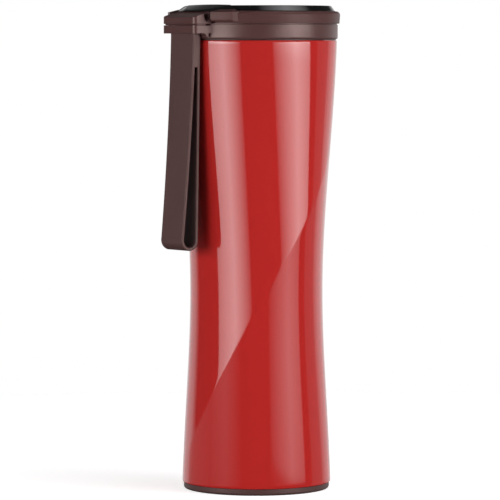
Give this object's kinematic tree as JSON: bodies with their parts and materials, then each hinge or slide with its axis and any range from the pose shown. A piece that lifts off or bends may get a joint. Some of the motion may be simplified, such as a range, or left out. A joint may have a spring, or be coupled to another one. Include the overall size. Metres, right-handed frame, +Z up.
{
  "type": "insulated travel mug",
  "caption": "Tall vacuum travel mug with a drawn-in waist, screw lid, hinged flip cover with black display top and a folded silicone carrying strap.",
  "frame": {"origin": "centre of the flat underside of the base pad", "axes": "+Z up along the mug's axis, the strap hangs on the -X side, the drinking hole is on the +X side"},
  "size_m": [0.0856, 0.0756, 0.219],
  "materials": {
    "red_paint": "gloss red lacquer",
    "steel": "satin stainless steel",
    "brown_silicone": "matte silicone",
    "clear_silicone": "milky silicone",
    "brown_plastic": "fine satin moulded",
    "black_plastic": "matte moulded",
    "black_gloss": "high gloss",
    "board_green": "lacquered board",
    "contact_brass": "plated spring leaf"
  },
  "bodies": {
    "mug": {"outer_shell": "red_paint", "inner_flask": "steel", "shell_bottom": "steel", "getter": "steel", "base_pad": "brown_silicone"},
    "seal_ring": {"lid_gasket": "clear_silicone"},
    "lid": {"lid_collar": "brown_plastic", "lid_plug": "brown_plastic", "hinge_block": "brown_plastic", "lug_screws": "steel", "hinge_pin": "steel", "pin_spacers": "black_plastic", "strap_root": "brown_silicone"},
    "cover": {"cover_ring": "brown_plastic", "cover_plate": "brown_plastic", "cover_screws": "steel", "spout_seal": "brown_silicone", "sensor_cap": "steel", "display_window": "black_gloss", "hinge_cap": "black_gloss", "display_module": "black_plastic", "circuit_board": "board_green", "coin_cell": "steel", "battery_contact": "contact_brass"},
    "battery_hatch": {"battery_door": "brown_plastic", "battery_door_seal": "clear_silicone"},
    "strap": {"strap_loop": "brown_silicone"}
  },
  "joints": [
    {"name": "lid_lift", "type": "slide", "parent": "mug", "child": "seal_ring", "axis": [0, 0, 1], "range_m": [0, 0.00626]},
    {"name": "lid_turn", "type": "hinge", "parent": "seal_ring", "child": "lid", "pos_m": [0, 0, 0.2034], "axis": [0, 0, 1], "range_deg": [0, 450]},
    {"name": "cover_flip", "type": "hinge", "parent": "lid", "child": "cover", "pos_m": [-0.034, 0, 0.2141], "axis": [0, -1, 0], "range_deg": [0, 95]},
    {"name": "battery_door_turn", "type": "hinge", "parent": "cover", "child": "battery_hatch", "pos_m": [-0.013, 0, 0.2105], "axis": [0, 0, 1], "range_deg": [0, 60]},
    {"name": "strap_swing", "type": "hinge", "parent": "lid", "child": "strap", "pos_m": [-0.03968, 0, 0.20342], "axis": [0, 1, 0], "range_deg": [0, 90]}
  ],
  "couplings": [
    {"joint": "lid_lift", "follows": "lid_turn", "m_per_rad": 0.00079577}
  ]
}
